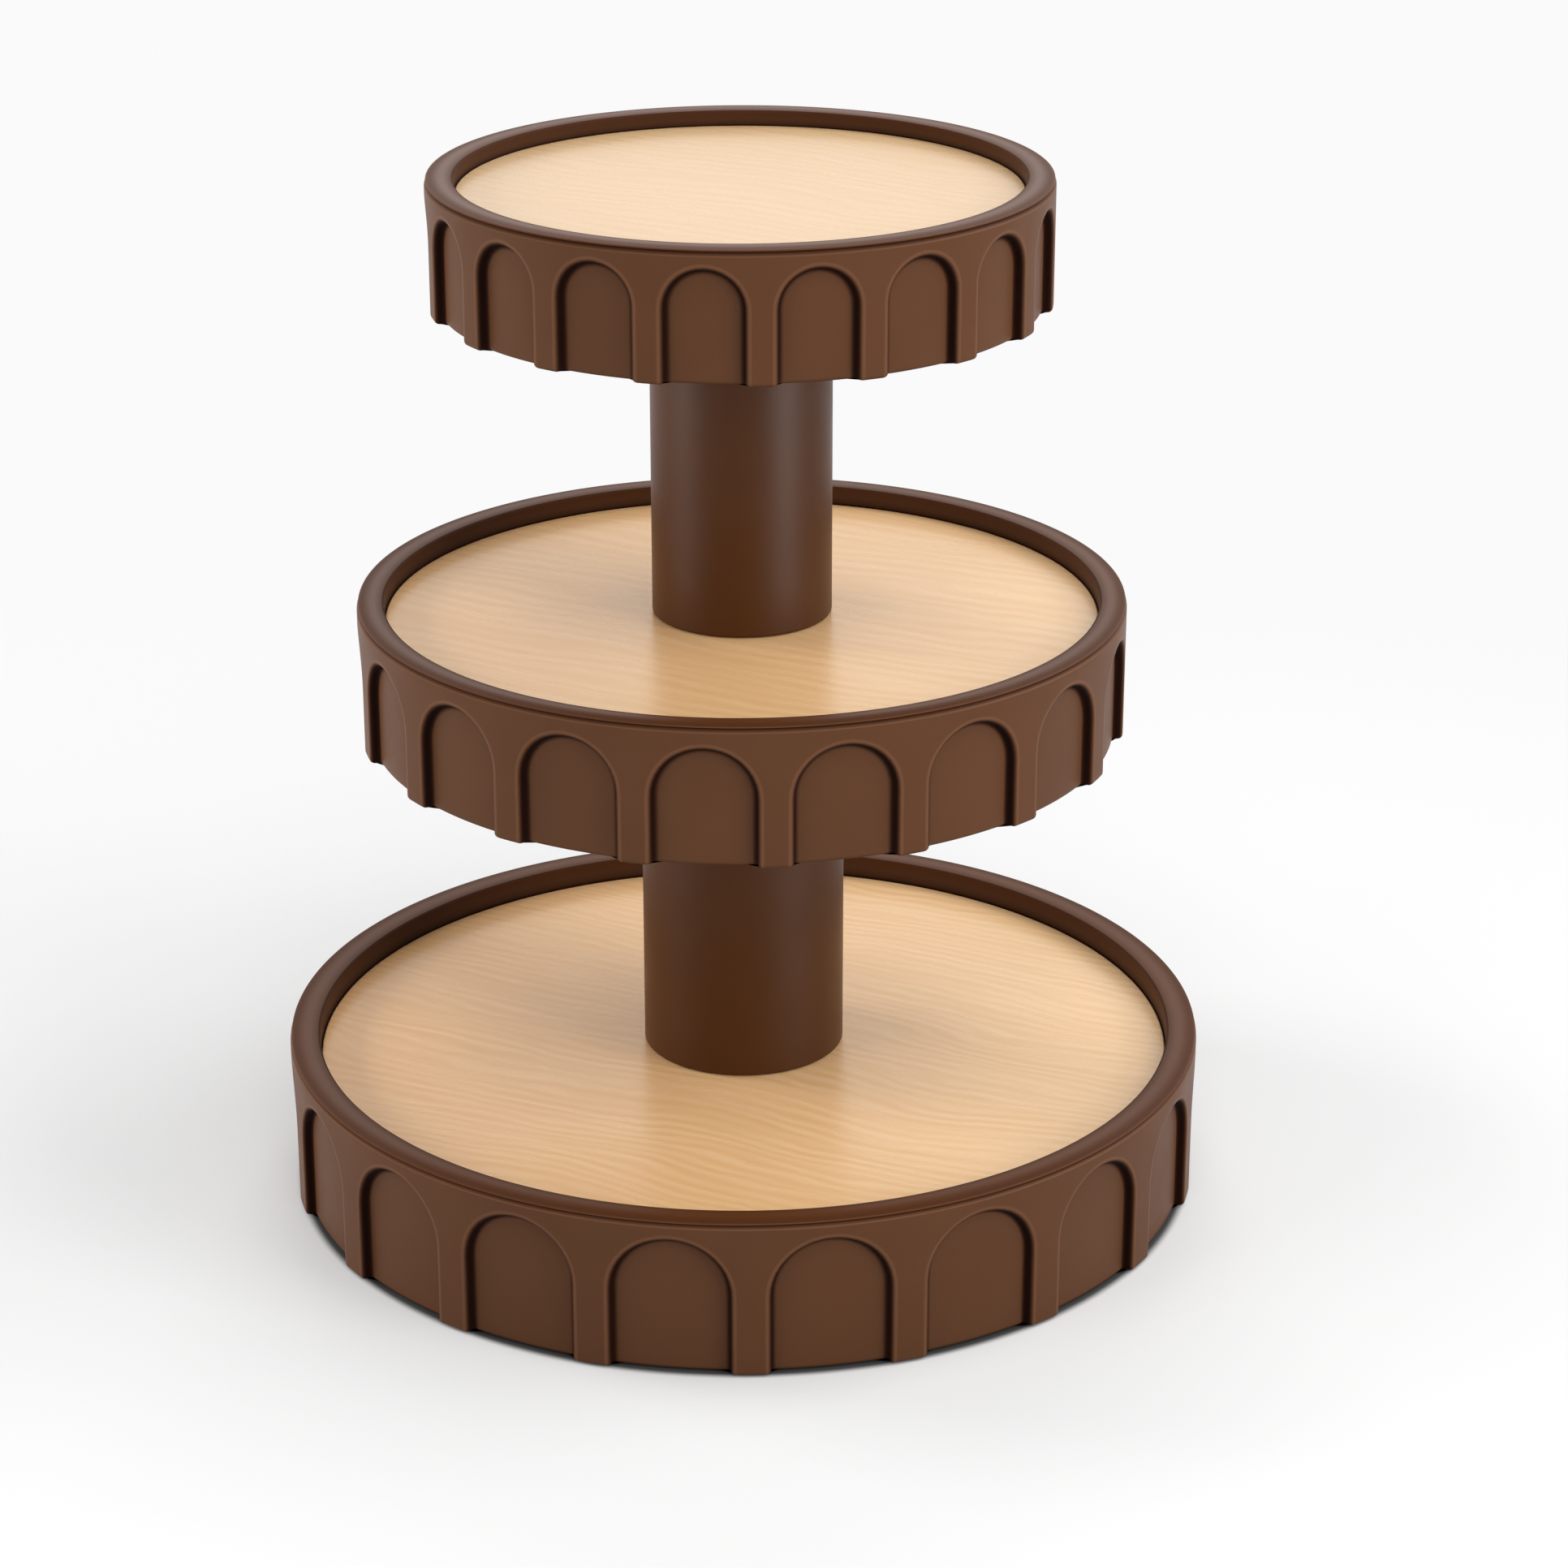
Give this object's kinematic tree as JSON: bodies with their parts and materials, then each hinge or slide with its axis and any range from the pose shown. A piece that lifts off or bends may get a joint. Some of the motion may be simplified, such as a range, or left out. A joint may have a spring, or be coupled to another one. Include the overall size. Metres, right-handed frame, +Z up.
{
  "type": "etagere",
  "caption": "Round tiered tabletop stand: rings with arched skirts, inlaid wooden boards, tube columns and a tie rod through all; the top board lifts out.",
  "frame": {"origin": "middle of the footprint, on the table that the foot pads stand on", "axes": "+Z up along the columns and the tie rod, -Y towards the front, +X to the right seen from the front"},
  "size_m": [0.2999, 0.2999, 0.3369],
  "materials": {
    "ring_plastic": "satin moulded plastic, chocolate brown",
    "floor_plastic": "matt moulded plastic, chocolate brown",
    "column_plastic": "satin plastic tube, dark chocolate brown",
    "board_wood": "clear satin lacquer on pale fine-grained wood",
    "steel": "bright zinc",
    "pad_rubber": "matt"
  },
  "bodies": {
    "stand": {"base_ring": "ring_plastic", "middle_ring": "ring_plastic", "top_ring": "ring_plastic", "base_floor": "floor_plastic", "middle_floor": "floor_plastic", "top_floor": "floor_plastic", "base_board": "board_wood", "middle_board": "board_wood", "lower_column": "column_plastic", "upper_column": "column_plastic", "lower_column_plug": "column_plastic", "upper_column_plug": "column_plastic", "tie_rod": "steel", "lower_nut": "steel", "upper_nut": "steel", "lower_washer": "steel", "upper_washer": "steel", "foot_pad_1": "pad_rubber", "foot_pad_2": "pad_rubber", "foot_pad_3": "pad_rubber", "foot_pad_4": "pad_rubber", "foot_pad_5": "pad_rubber", "foot_pad_6": "pad_rubber"},
    "lift_out_board": {"top_board": "board_wood"}
  },
  "joints": [
    {"name": "top_board_lift", "type": "slide", "parent": "stand", "child": "lift_out_board", "axis": [0, 0, 1], "range_m": [0, 0.03]}
  ]
}
